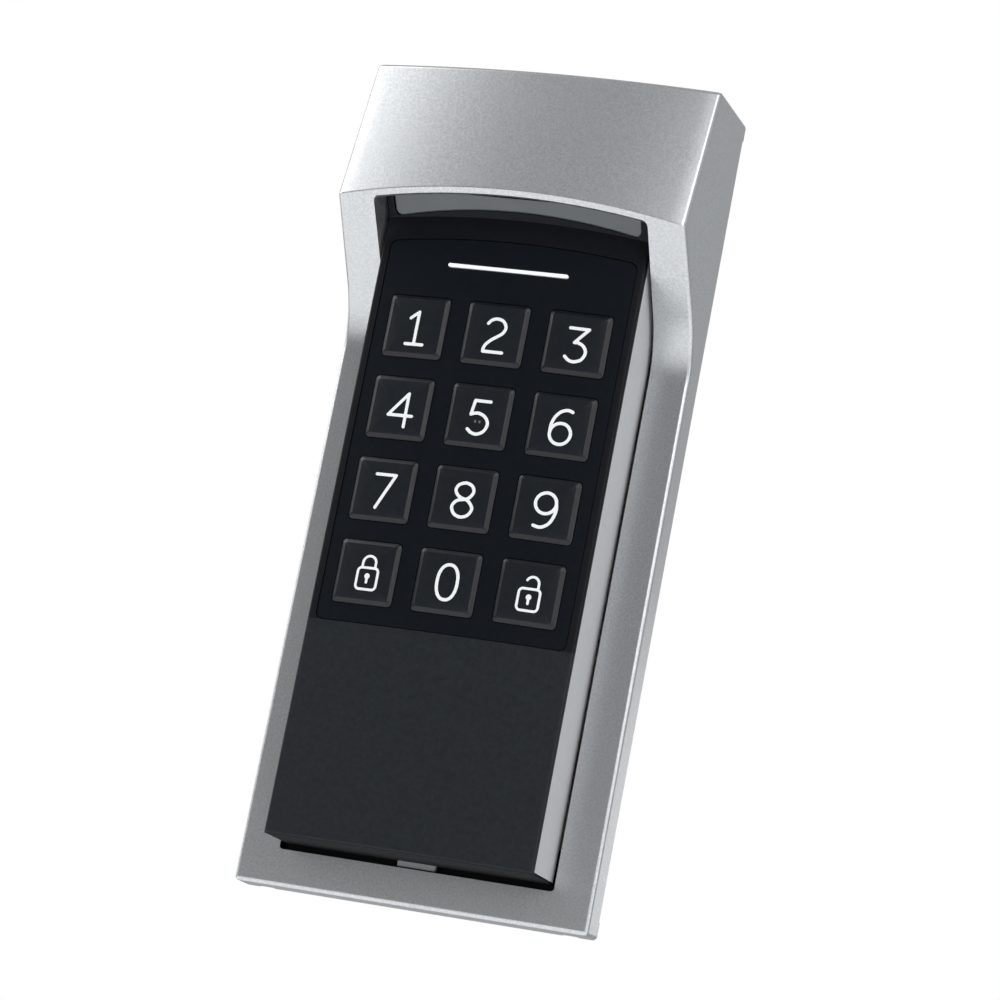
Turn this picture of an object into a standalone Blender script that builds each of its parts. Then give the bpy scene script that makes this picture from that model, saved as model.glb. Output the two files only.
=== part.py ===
"""Keypad access reader: die-cast wall frame with a hood and a swing-out keypad module.

Frame: X right seen from the front, Y into the wall, Z up. The origin is on the wall plate's back face,
at half the height of the frame. Lengths in the constants and in the shape functions are millimetres,
with heights counted from the frame's bottom edge; MM turns them into metres and ORIGIN_Z is the
origin's height.
"""
import math

import bmesh
import bpy
from mathutils import Matrix, Vector

MM = 0.001
ORIGIN_Z = 79.4

# housing frame
HALF_W_WALL = 35.1
SIDE_DRAFT = 0.023
RAIL_FRONT = -6.25
SWEEP_START_Z = 104.3
SWEEP_RADIUS = 16.5
SWEEP_ANGLE = math.radians(46.4)
HOOD_REF_Z = 131.0
HOOD_REF_Y = -25.0
HOOD_SLOPE = 0.253
HOOD_BOW_LOW = 3.83
HOOD_BOW_TOP = 3.09
HOOD_HALF_W = 34.0
TOP_Z = 158.8
WALL_T = 2.0
EDGE_ROUND = 0.85
LIP_ROUND = 0.25
LIP_DROP = 0.84
FOOT_RELIEF = 0.5
NOTCH_DEPTH = 1.3
FOOT_LEN = 3.4
FOOT_NOTCH = 3.0

# window in the frame
WIN_HALF_W = 27.2
WIN_BOTTOM = 7.0
WIN_CORNER = 0.9
LEDGE_Y = -3.9
LEDGE_BACK = -1.9
LEDGE_LOW_Z = 15.0
LEDGE_TOP_Z = 141.0
CAVITY_TOP = 155.6

# swing-out module
MOD_HALF_W = 26.3
MOD_BOTTOM = 8.3
MOD_TOP = 134.2
MOD_BACK = -4.3
FACE_Y = -19.5
FACE_CROWN = 0.0021
KINK_Y = -18.0
KINK_Z = 128.0
BROW_Y = -23.0
COVER_T = 1.0
SKIRT_T = 1.5
BASE_WALL = 1.4
ROOF_T = 1.1
BACK_WALL = 1.5
GAP = 0.3
HINGE_Y = -7.5
HINGE_Z = 131.0
PIN_R = 1.2
PIN_END = 28.4

# keypad
MAT_HALF_W = 24.7
MAT_BOTTOM = 49.2
MAT_TOP = 125.1
MAT_ARCH = 0.0023
MAT_T = 1.6
MAT_SINK = 0.12
MAT_GAP = 0.15
PITCH = 16.0
KEY_TOP_Z = 106.9
KEY_HALF = 6.05
KEY_WALL = 0.8
KEY_RISE = 0.55
KEY_DOME = 0.12
KEY_BODY_BACK = 1.3
KEY_GAP = 0.15
STEM_R = 2.4
STEM_END = -14.9
ROWS = 4
COLUMNS = 3

# light bar and brow lens
BAR_Z = 119.6
BAR_HALF_W = 11.95
BAR_HALF_H = 0.34
LENS_HALF_W = 24.6
LENS_LIFT = 1.25
LENS_DROOP = 1.0
LENS_TOP = 132.7
LENS_T = 1.6
LENS_CORNER = 1.4

# boards
BOARD_FRONT = -13.6
BOARD_T = 1.6
BOARD_HALF_W = 20.0
POST_X = 22.4
POST_R = 2.2
POST_LOW_Z = 13.5
POST_TOP_Z = 124.5
POST_SPLIT_Y = -11.5
HEAD_SEAT = -5.3
LATCH_LOW_Z = 7.3

# wall side
PLATE_T = 1.5
PLATE_HALF_W = 32.1
FRAME_SCREW_X = 22.0
FRAME_SCREW_Z = (11.0, 148.0)
CABLE_Z = 99.0
CABLE_HALF_W = 12.0
CABLE_HALF_H = 8.0


def clear_scene():
    for obj in list(bpy.data.objects):
        bpy.data.objects.remove(obj, do_unlink=True)


def material(name, color, rough, metal=0.0):
    mat = bpy.data.materials.new(name)
    mat.use_nodes = True
    shader = mat.node_tree.nodes["Principled BSDF"]
    shader.inputs["Base Color"].default_value = (*color, 1.0)
    shader.inputs["Roughness"].default_value = rough
    shader.inputs["Metallic"].default_value = metal
    mat.diffuse_color = (*color, 1.0)
    return mat


def make(name, verts, faces, mat=None, origin=(0.0, 0.0, 0.0)):
    mesh = bpy.data.meshes.new(name)
    base = Vector(origin)
    mesh.from_pydata([(Vector(v) - base) * MM for v in verts], [], faces)
    bm = bmesh.new()
    bm.from_mesh(mesh)
    bmesh.ops.recalc_face_normals(bm, faces=bm.faces)
    bm.to_mesh(mesh)
    bm.free()
    obj = bpy.data.objects.new(name, mesh)
    obj.location = base * MM
    bpy.context.scene.collection.objects.link(obj)
    if mat:
        mesh.materials.append(mat)
    return obj


def loft(name, rings, mat=None, origin=(0.0, 0.0, 0.0)):
    """Closed solid through rings of equally many points, flat ends."""
    n = len(rings[0])
    verts = [p for ring in rings for p in ring]
    faces = [list(range(n)), [len(verts) - n + i for i in range(n)]]
    for r in range(len(rings) - 1):
        for i in range(n):
            j = (i + 1) % n
            faces.append([r * n + i, r * n + j, (r + 1) * n + j, (r + 1) * n + i])
    return make(name, verts, faces, mat, origin)


def box(name, x, y, z, mat=None):
    ring = [(y[0], z[0]), (y[1], z[0]), (y[1], z[1]), (y[0], z[1])]
    return loft(name, [[(s, a, b) for a, b in ring] for s in x], mat)


def rod_y(name, centre, radius, y, mat=None, seg=24, ends=None):
    """Round bar along Y; ends gives (y, radius) stations instead of one straight bar."""
    stations = ends or [(y[0], radius), (y[1], radius)]
    rings = []
    for sy, sr in stations:
        rings.append([(centre[0] + sr * math.cos(2 * math.pi * i / seg), sy,
                       centre[1] + sr * math.sin(2 * math.pi * i / seg)) for i in range(seg)])
    return loft(name, rings, mat)


def rod_x(name, centre, radius, x, mat=None, seg=20):
    rings = []
    for sx in x:
        rings.append([(sx, centre[0] + radius * math.cos(2 * math.pi * i / seg),
                       centre[1] + radius * math.sin(2 * math.pi * i / seg)) for i in range(seg)])
    return loft(name, rings, mat)


def settle(obj):
    """Turn the object's modifiers into its mesh."""
    depsgraph = bpy.context.evaluated_depsgraph_get()
    mesh = bpy.data.meshes.new_from_object(obj.evaluated_get(depsgraph))
    old = obj.data
    obj.modifiers.clear()
    obj.data = mesh
    bpy.data.meshes.remove(old)
    mesh.name = obj.name


def combine(obj, others, operation="DIFFERENCE"):
    for other in others:
        mod = obj.modifiers.new("combine", "BOOLEAN")
        mod.operation = operation
        mod.solver = "EXACT"
        mod.object = other
        settle(obj)
        bpy.data.objects.remove(other, do_unlink=True)
    return obj


def round_edges(obj, width, segments=2, weighted=False, angle=40.0):
    mod = obj.modifiers.new("round", "BEVEL")
    mod.width = width * MM
    mod.segments = segments
    mod.limit_method = "WEIGHT" if weighted else "ANGLE"
    mod.angle_limit = math.radians(angle)
    settle(obj)
    return obj


def weigh_edges(obj, weight_of):
    """Bevel weight per edge from a function of the edge's two ends in millimetres."""
    bm = bmesh.new()
    bm.from_mesh(obj.data)
    layer = bm.edges.layers.float.new("bevel_weight_edge")
    for edge in bm.edges:
        if edge.calc_face_angle(0.0) > math.radians(20):
            edge[layer] = weight_of(*[v.co / MM for v in edge.verts])
    bm.to_mesh(obj.data)
    bm.free()


def smooth(obj, angle=32.0):
    obj.data.shade_smooth()
    obj.data.set_sharp_from_angle(angle=math.radians(angle))
    return obj


def rounded_square(half_x, half_z, radius, per_corner=4):
    pts = []
    for quarter, (sx, sz) in enumerate(((1, 1), (-1, 1), (-1, -1), (1, -1))):
        for i in range(per_corner):
            a = math.pi / 2 * (quarter + i / (per_corner - 1))
            pts.append((sx * (half_x - radius) + radius * math.cos(a),
                        sz * (half_z - radius) + radius * math.sin(a)))
    return pts


def face_y(x):
    return FACE_Y + FACE_CROWN * x * x


def brow_y(z):
    return KINK_Y - (z - KINK_Z) * math.tan(SWEEP_ANGLE)


def kink_z(x):
    return KINK_Z + (KINK_Y - face_y(x)) / math.tan(SWEEP_ANGLE)


def sweep_end():
    z = SWEEP_START_Z + SWEEP_RADIUS * math.sin(SWEEP_ANGLE)
    y = RAIL_FRONT - SWEEP_RADIUS * (1 - math.cos(SWEEP_ANGLE))
    return y, z


def hood_y(x, z):
    bow = HOOD_BOW_LOW + (HOOD_BOW_TOP - HOOD_BOW_LOW) * (z - HOOD_REF_Z) / (TOP_Z - HOOD_REF_Z)
    return HOOD_REF_Y + HOOD_SLOPE * (z - HOOD_REF_Z) - bow * (1 - (x / HOOD_HALF_W) ** 2)


def lip_z(x):
    """Height where the swept underside meets the hood face."""
    y_end, z_end = sweep_end()
    low, high = z_end, TOP_Z
    for _ in range(50):
        mid = (low + high) / 2
        if y_end - (mid - z_end) * math.tan(SWEEP_ANGLE) > hood_y(x, mid):
            low = mid
        else:
            high = mid
    return low


def side_x(share, y):
    return share * (HALF_W_WALL + SIDE_DRAFT * y)


def frame_outline(x, inset=0.0, back=0.0, bottom=0.0, top=TOP_Z, arc=10):
    """Side profile (y, z) of the frame at x, moved inward by inset."""
    pts = [(back, bottom), (RAIL_FRONT + inset, bottom)]
    for i in range(arc + 1):
        a = SWEEP_ANGLE * i / arc
        pts.append((RAIL_FRONT + inset - (SWEEP_RADIUS - inset) * (1 - math.cos(a)),
                    SWEEP_START_Z + (SWEEP_RADIUS - inset) * math.sin(a)))
    z_lip = lip_z(x) + inset * 0.6
    pts.append((hood_y(x, z_lip) + inset, z_lip))
    pts.append((hood_y(x, top) + inset, top))
    pts.append((back, top))
    return pts


def window_roof(x):
    edge = WIN_HALF_W - WIN_CORNER
    drop = 0.0
    if abs(x) > edge:
        drop = WIN_CORNER - math.sqrt(max(WIN_CORNER ** 2 - (abs(x) - edge) ** 2, 0.0))
    return lip_z(x) - LIP_DROP - drop


def window_cutter():
    edge = WIN_HALF_W - WIN_CORNER
    xs = [-WIN_HALF_W + WIN_CORNER * (1 - math.cos(math.pi / 2 * i / 4)) for i in range(4)]
    xs = xs + [edge * (i / 6 - 1) for i in range(13)] + [-x for x in reversed(xs)]
    rings = []
    for x in xs:
        low = WIN_BOTTOM
        if abs(x) > edge:
            low = low + (WIN_CORNER - math.sqrt(max(WIN_CORNER ** 2 - (abs(x) - edge) ** 2, 0.0))) * 0.6
        rings.append([(x, -45, low), (x, LEDGE_Y, low), (x, LEDGE_Y, window_roof(x)), (x, -45, window_roof(x))])
    return loft("window_cutter", rings)


def hood_cavity_cutter():
    rings = []
    for i in range(13):
        x = (WIN_HALF_W - 0.2) * (i / 6 - 1)
        ring = [(LEDGE_Y, 126.0), (hood_y(x, 126.0) + WALL_T, 126.0)]
        ring += [(hood_y(x, CAVITY_TOP) + WALL_T, CAVITY_TOP), (LEDGE_Y, CAVITY_TOP)]
        rings.append([(x, a, b) for a, b in ring])
    return loft("cavity_cutter", rings)


def rail_pocket_cutter(side):
    rings = []
    for x in (29.5, 32.3):
        ring = frame_outline(x, inset=WALL_T, back=-1.0, bottom=12.0, top=153.0, arc=4)
        rings.append([(side * x, a, b) for a, b in ring])
    return loft("rail_pocket_cutter", rings)


def frame_screw_places():
    return [(sx * FRAME_SCREW_X, z) for z in FRAME_SCREW_Z for sx in (-1, 1)]


def build_frame(mat):
    stations = 21
    rings = []
    for i in range(stations):
        share = 2 * i / (stations - 1) - 1
        rings.append([(side_x(share, y), y, z) for y, z in frame_outline(share * HOOD_HALF_W)])
    frame = loft("housing_frame", rings, mat)

    def weight(a, b):
        if a.y > -1 and b.y > -1:
            return 0.0
        along_x = abs(a.x - b.x) > 2.0
        if along_x and 120 < a.z < 140:
            return LIP_ROUND / EDGE_ROUND
        return 1.0

    weigh_edges(frame, weight)
    round_edges(frame, EDGE_ROUND, 3, weighted=True)
    cutters = [window_cutter(), hood_cavity_cutter()]
    cutters.append(box("rear_cutter", (-27.0, 27.0), (LEDGE_Y - 1, 2), (LEDGE_LOW_Z, LEDGE_TOP_Z)))
    cutters.append(box("plate_cutter", (-32.4, 32.4), (-PLATE_T - GAP, 2), (2.6, 156.0)))
    cutters += [rail_pocket_cutter(s) for s in (-1, 1)]
    inner_foot = HALF_W_WALL - FOOT_LEN
    for s in (-1, 1):
        notch = sorted((s * inner_foot, s * (inner_foot - FOOT_NOTCH)))
        cutters.append(box("foot_notch", notch, (-NOTCH_DEPTH, 2), (-2, 162)))
    cutters.append(box("relief_tall", (-38, 38), (-FOOT_RELIEF, 2), (FOOT_LEN, TOP_Z - FOOT_LEN)))
    for s in (-1, 1):
        cutters.append(rod_x("socket", (HINGE_Y, HINGE_Z), PIN_R + GAP, sorted((s * 26.5, s * 28.8))))
    for place in frame_screw_places():
        ends = [(-4.6, 3.3), (LEDGE_Y, 2.8), (-2.5, 1.45), (-1.0, 1.45)]
        cutters.append(rod_y("screw_hole", place, 0, None, ends=ends))
    combine(frame, cutters)
    return smooth(frame)


def build_wall_plate(mat):
    plate = box("wall_plate", (-PLATE_HALF_W, PLATE_HALF_W), (-PLATE_T, 0), (2.9, 155.7), mat)
    round_edges(plate, 0.3, 1)
    cutters = []
    for sx, sz in ((0, 28), (0, 136)):
        pts = rounded_square(2.2 if sz > 80 else 5.0, 5.0 if sz > 80 else 2.2, 2.15)
        cutters.append(loft("slot", [[(sx + a, y, sz + b) for a, b in pts] for y in (-3, 2)]))
    pts = rounded_square(CABLE_HALF_W, CABLE_HALF_H, 3.0)
    cutters.append(loft("cable_hole", [[(a, y, CABLE_Z + b) for a, b in pts] for y in (-3, 2)]))
    for place in frame_screw_places():
        cutters.append(rod_y("tap", place, 1.45, (-3, 2)))
    return smooth(combine(plate, cutters))


def build_grommet(mat):
    """Rubber edge ring round the cable opening of the wall plate."""
    outer = rounded_square(CABLE_HALF_W - 0.15, CABLE_HALF_H - 0.15, 2.85)
    ring = loft("cable_grommet", [[(a, y, CABLE_Z + b) for a, b in outer] for y in (-2.1, -0.1)], mat)
    inner = rounded_square(CABLE_HALF_W - 1.7, CABLE_HALF_H - 1.7, 2.0)
    hole = loft("hole", [[(a, y, CABLE_Z + b) for a, b in inner] for y in (-4, 3)])
    return smooth(combine(ring, [hole]))


def cross_recess(place, y_head, depth, size):
    x, z = place
    arms = []
    for half_x, half_z in ((size, 0.35), (0.35, size)):
        arms.append(box("cross", (x - half_x, x + half_x), (y_head - 1, y_head + depth), (z - half_z, z + half_z)))
    return arms


def build_frame_screws(mat):
    for number, place in enumerate(frame_screw_places(), 1):
        ends = [(LEDGE_Y + 0.1, 2.5), (-2.7, 1.25), (-0.3, 1.25)]
        screw = rod_y("frame_screw_%d" % number, place, 0, None, mat, seg=20, ends=ends)
        smooth(combine(screw, cross_recess(place, LEDGE_Y + 0.1, 0.8, 1.4)))


def module_posts():
    return [(sx * POST_X, z) for z in (POST_LOW_Z, POST_TOP_Z) for sx in (-1, 1)]


def base_outline():
    front = face_y(MOD_HALF_W) + COVER_T + GAP
    brow_back = BROW_Y + COVER_T + GAP
    z_brow = KINK_Z + (front - brow_back) / math.tan(SWEEP_ANGLE)
    return [(MOD_BACK, MOD_BOTTOM), (front, MOD_BOTTOM), (front, KINK_Z), (brow_back, z_brow),
            (brow_back, MOD_TOP), (MOD_BACK, MOD_TOP)]


def mitre_outline():
    """Room (x, z) left under the base for the cover's bottom wall, mitred at both ends."""
    lift = GAP * math.sqrt(2)
    reach = MOD_HALF_W + lift
    inner = MOD_HALF_W - SKIRT_T
    top = MOD_BOTTOM + SKIRT_T + lift
    return [(-reach, MOD_BOTTOM), (-reach, MOD_BOTTOM - 2), (reach, MOD_BOTTOM - 2), (reach, MOD_BOTTOM),
            (inner, top), (-inner, top)]


def build_base(mat):
    outline = base_outline()
    base = loft("module_base", [[(x, a, b) for a, b in outline] for x in (-MOD_HALF_W, MOD_HALF_W)], mat)
    round_edges(base, 0.5, 2)
    inner_w = MOD_HALF_W - BASE_WALL
    cutters = [box("inner", (-inner_w, inner_w), (-30, MOD_BACK - BACK_WALL), (0, MOD_TOP - ROOF_T))]
    cutters.append(box("latch_slot", (-4.1, 4.1), (-9, 0), (5, 20)))
    cutters.append(box("cable_slot", (-14, 14), (-9, 0), (CABLE_Z - 7, CABLE_Z + 7)))
    cutters.append(loft("foot_cutter", [[(x, y, z) for x, z in mitre_outline()] for y in (-30, 0)]))
    combine(base, cutters)
    posts = [rod_y("post", p, POST_R, (POST_SPLIT_Y, MOD_BACK - 0.5), seg=16) for p in module_posts()]
    pins = [rod_x("pin", (HINGE_Y, HINGE_Z), PIN_R, sorted((s * (inner_w + 0.4), s * PIN_END))) for s in (-1, 1)]
    combine(base, posts + pins, "UNION")
    holes = []
    for p in module_posts():
        ends = [(-20, 1.35), (HEAD_SEAT, 1.35), (HEAD_SEAT, 2.4), (0, 2.4)]
        holes.append(rod_y("screw_hole", p, 0, None, seg=16, ends=ends))
    return smooth(combine(base, holes))


def cover_stations():
    return [MOD_HALF_W * (i / 10 - 1) for i in range(21)]


def cover_ring(x):
    tan = math.tan(SWEEP_ANGLE)
    front = face_y(x)
    back = front + COVER_T
    outer = [(front, MOD_BOTTOM), (front, kink_z(x)), (BROW_Y, KINK_Z + (KINK_Y - BROW_Y) / tan), (BROW_Y, MOD_TOP)]
    z_in = KINK_Z + (KINK_Y + COVER_T - BROW_Y - COVER_T) / tan
    inner = [(BROW_Y + COVER_T, MOD_TOP), (BROW_Y + COVER_T, z_in)]
    inner += [(back, kink_z(x)), (back, MOD_BOTTOM)]
    return [(x, a, b) for a, b in outer + inner]


def mat_outline(x, shrink):
    return MAT_TOP - MAT_ARCH * x * x - shrink


def mat_block(name, shrink, y_front, y_back, mat=None):
    half = MAT_HALF_W - shrink
    corner = 1.2
    xs = [-half, -half + 0.35, -half + corner] + [(half - corner) * (i / 6 - 1) for i in range(1, 12)]
    xs += [half - corner, half - 0.35, half]
    rings = []
    for x in xs:
        over = max(abs(x) - (half - corner), 0.0)
        drop = corner - math.sqrt(max(corner ** 2 - over ** 2, 0.0))
        low = MAT_BOTTOM + shrink + drop
        high = mat_outline(x, shrink) - drop
        rings.append([(x, y_front(x), low), (x, y_back(x), low), (x, y_back(x), high), (x, y_front(x), high)])
    return loft(name, rings, mat)


def lens_low_z(x, half, lift):
    over = max(abs(x) - (half - LENS_CORNER), 0.0)
    sag = lift - LENS_DROOP * (x / LENS_HALF_W) ** 2
    return kink_z(x) + sag + LENS_CORNER - math.sqrt(max(LENS_CORNER ** 2 - over ** 2, 0.0))


def lens_block(name, grow, depth_front, depth_back, mat=None):
    half = LENS_HALF_W + grow
    inner = half - LENS_CORNER
    xs = [-half, -half + 0.3, -half + 0.8] + [inner * (i / 6 - 1) for i in range(13)] + [half - 0.8, half - 0.3, half]
    rings = []
    for x in xs:
        low = lens_low_z(x, half, LENS_LIFT - grow)
        top = LENS_TOP + grow
        rings.append([(x, brow_y(low) + depth_front, low), (x, brow_y(low) + depth_back, low),
                      (x, brow_y(top) + depth_back, top), (x, brow_y(top) + depth_front, top)])
    return loft(name, rings, mat)


def skirt_block():
    """Bottom wall of the cover, reaching back under the base, with mitred ends."""
    full = MOD_HALF_W - SKIRT_T
    xs = [0.1 - MOD_HALF_W] + [full * (i / 6 - 1) for i in range(13)] + [MOD_HALF_W - 0.1]
    rings = []
    for x in xs:
        front = face_y(x) + 0.7
        top = MOD_BOTTOM + min(SKIRT_T, MOD_HALF_W - abs(x))
        ring = [(front, MOD_BOTTOM), (MOD_BACK, MOD_BOTTOM), (MOD_BACK, top), (front, top)]
        rings.append([(x, a, b) for a, b in ring])
    return loft("skirt", rings)


def build_cover(mat):
    cover = loft("front_cover", [cover_ring(x) for x in cover_stations()], mat)

    def weight(a, b):
        side = abs(a.x) > MOD_HALF_W - 0.01 and abs(b.x) > MOD_HALF_W - 0.01
        front = a.y < face_y(a.x) + 0.2 and b.y < face_y(b.x) + 0.2
        low = a.z < MOD_BOTTOM + 0.01 and b.z < MOD_BOTTOM + 0.01
        return 1.0 if (side or low) and front else 0.0

    weigh_edges(cover, weight)
    round_edges(cover, 0.55, 3, weighted=True)
    skirt = skirt_block()
    posts = [rod_y("post", p, POST_R, (face_y(POST_X) + 0.5, POST_SPLIT_Y - GAP), seg=16) for p in module_posts()]
    combine(cover, [skirt] + posts, "UNION")
    cutters = [mat_block("mat_cutter", 0.0, lambda x: -30.0, lambda x: -15.0)]
    cutters.append(lens_block("lens_cutter", 0.15, -3.0, 5.0))
    cutters.append(box("latch_notch", (-4.1, 4.1), (-6.1, 0), (5, 12)))
    cutters += [rod_y("pilot", p, 1.1, (-17.0, -8), seg=16) for p in module_posts()]
    return smooth(combine(cover, cutters))


def build_lens(mat):
    lens = lens_block("brow_lens", 0.0, 0.12, LENS_T, mat)
    round_edges(lens, 0.3, 2)
    return smooth(lens)


def stadium(half_w, half_h, y_front, y_back, name, mat=None):
    pts = rounded_square(half_w, half_h, half_h * 0.98, 5)
    rings = [[(a, y, BAR_Z + b) for a, b in pts] for y in (y_front, y_back)]
    return loft(name, rings, mat)


def build_light_bar(mat):
    bar = stadium(BAR_HALF_W, BAR_HALF_H, FACE_Y + 0.18, FACE_Y + 4.4, "light_bar", mat)
    return smooth(bar)


def key_places():
    places = []
    for row in range(ROWS):
        for col in range(COLUMNS):
            places.append((PITCH * (col - 1), KEY_TOP_Z - PITCH * row))
    return places


def build_mat(mat):
    pad = mat_block("keypad_mat", MAT_GAP, lambda x: face_y(x) + MAT_SINK, lambda x: face_y(x) + MAT_T, mat)
    cutters = []
    half = KEY_HALF + KEY_GAP
    for x, z in key_places():
        pts = rounded_square(half, half, 0.9)
        cutters.append(loft("key_hole", [[(x + a, y, z + b) for a, b in pts] for y in (-30, -10)]))
    cutters.append(stadium(BAR_HALF_W + 0.15, BAR_HALF_H + 0.15, -30, -10, "bar_hole"))
    return smooth(combine(pad, cutters))


KEY_NAMES = ("1", "2", "3", "4", "5", "6", "7", "8", "9", "lock", "0", "unlock")


def build_key(name, place, mat):
    cx, cz = place

    def ring(half, radius, lift):
        return [(cx + a, face_y(cx + a) + lift, cz + b) for a, b in rounded_square(half, half, radius)]

    top = KEY_HALF - KEY_WALL
    rings = [[(cx + a, STEM_END, cz + b) for a, b in rounded_square(STEM_R, STEM_R, STEM_R * 0.999)]]
    rings.append([(cx + a, face_y(cx) + KEY_BODY_BACK, cz + b)
                  for a, b in rounded_square(STEM_R, STEM_R, STEM_R * 0.999)])
    rings.append(ring(KEY_HALF, 0.8, KEY_BODY_BACK))
    rings.append(ring(KEY_HALF, 0.8, MAT_SINK - 0.04))
    rings.append(ring(KEY_HALF - 0.1, 0.75, MAT_SINK - 0.16))
    rings.append(ring(top + 0.1, 0.6, -KEY_RISE + 0.1))
    rings.append(ring(top - 0.05, 0.55, -KEY_RISE))
    rings.append(ring(top * 0.6, 0.5, -KEY_RISE - KEY_DOME * 0.7))
    rings.append(ring(top * 0.25, 0.4, -KEY_RISE - KEY_DOME))
    return smooth(loft(name, rings, mat, origin=(cx, face_y(cx) - KEY_RISE, cz)), 40)


def build_dome(name, place, mat):
    profile = [(BOARD_FRONT - 0.05, 3.2), (BOARD_FRONT - 0.2, 3.1), (BOARD_FRONT - 0.42, 2.0), (BOARD_FRONT - 0.5, 0.8)]
    return smooth(rod_y(name, place, 0, None, mat, seg=16, ends=profile), 50)


def build_boards(pcb):
    back = BOARD_FRONT + BOARD_T
    board = box("main_board", (-BOARD_HALF_W, BOARD_HALF_W), (BOARD_FRONT, back), (47.0, 130.5), pcb)
    antenna = box("antenna_board", (-BOARD_HALF_W, BOARD_HALF_W), (-15.4, -14.4), (12.0, 45.0), pcb)
    return board, antenna


def build_coil(mat):
    outer = rounded_square(18.5, 15.0, 2.5)
    coil = loft("antenna_coil", [[(a, y, 28.5 + b) for a, b in outer] for y in (-15.8, -15.45)], mat)
    inner = rounded_square(15.5, 12.0, 1.5)
    hole = loft("hole", [[(a, y, 28.5 + b) for a, b in inner] for y in (-20, -10)])
    return smooth(combine(coil, [hole]))


def build_leds(mat):
    spots = [("bar_led_1", -6.0, BAR_Z), ("bar_led_2", 6.0, BAR_Z)]
    spots += [("brow_led_%d" % (i + 1), x, 128.6) for i, x in enumerate((-14.0, 0.0, 14.0))]
    for name, x, z in spots:
        box(name, (x - 1.0, x + 1.0), (BOARD_FRONT - 0.95, BOARD_FRONT - 0.05), (z - 0.6, z + 0.6), mat)


def build_rear_parts(black, green_plastic, chip):
    back = BOARD_FRONT + BOARD_T + 0.05
    buzzer = rod_y("buzzer", (-11.0, 72.0), 0, None, black, seg=24,
                   ends=[(back, 6.0), (back + 4.6, 6.0), (back + 5.0, 5.6)])
    hole = rod_y("hole", (-11.0, 72.0), 0.9, (back + 3.5, back + 8), seg=12)
    smooth(combine(buzzer, [hole]))
    block = box("terminal_block", (-11.5, 11.5), (back, back + 5.6), (CABLE_Z - 4.0, CABLE_Z + 4.0), green_plastic)
    cutters = []
    for i in range(6):
        x = 3.6 * (i - 2.5)
        cutters.append(box("wire_hole", (x - 1.2, x + 1.2), (back + 2.6, back + 8), (CABLE_Z - 2.6, CABLE_Z - 0.4)))
        cutters.append(rod_y("clamp_hole", (x, CABLE_Z + 1.9), 1.0, (back + 4.6, back + 8), seg=12))
    combine(block, cutters)
    box("reader_chip", (6.0, 12.0), (back, back + 1.0), (66.0, 72.0), chip)
    box("processor_chip", (-4.5, 4.5), (back, back + 1.2), (78.0, 87.0), chip)
    box("tamper_sensor", (14.0, 17.0), (back, back + 1.4), (56.0, 59.0), chip)


def build_module_screws(mat):
    for number, place in enumerate(module_posts(), 1):
        ends = [(-15.5, 0.95), (HEAD_SEAT + 0.05, 0.95), (HEAD_SEAT + 0.1, 2.1), (-4.45, 2.1)]
        screw = rod_y("module_screw_%d" % number, place, 0, None, mat, seg=16, ends=ends)
        x, z = place
        arms = [box("cross", (x - a, x + a), (-4.95, -4), (z - b, z + b)) for a, b in ((1.2, 0.3), (0.3, 1.2))]
        smooth(combine(screw, arms))


def build_latch(mat):
    """Flat release tab that slides up inside the module's back wall."""
    body = box("release_latch", (-3.8, 3.8), (MOD_BACK - BACK_WALL, MOD_BACK - 0.3), (LATCH_LOW_Z, 17.0), mat)
    round_edges(body, 0.25, 2)
    grip = box("grip", (-2.5, 2.5), (MOD_BACK - BACK_WALL - 2.5, MOD_BACK - 1.0), (14.0, 16.0))
    return smooth(combine(body, [grip], "UNION"))


def set_origin(obj, point):
    """Move an object's origin to a point given in millimetres and leave its shape in place."""
    shift = Vector(point) * MM - obj.location
    obj.data.transform(Matrix.Translation(-shift))
    obj.location += shift


def place_all(wall_side):
    """Module pieces get their origin on the swing axis; everything moves down to the part's origin."""
    for obj in bpy.context.scene.objects:
        if obj.name == "release_latch":
            set_origin(obj, (0, MOD_BACK - 0.9, LATCH_LOW_Z))
        elif not obj.name.startswith(wall_side + ("key_",)):
            set_origin(obj, (0, HINGE_Y, HINGE_Z))
        obj.location.z -= ORIGIN_Z * MM


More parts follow.
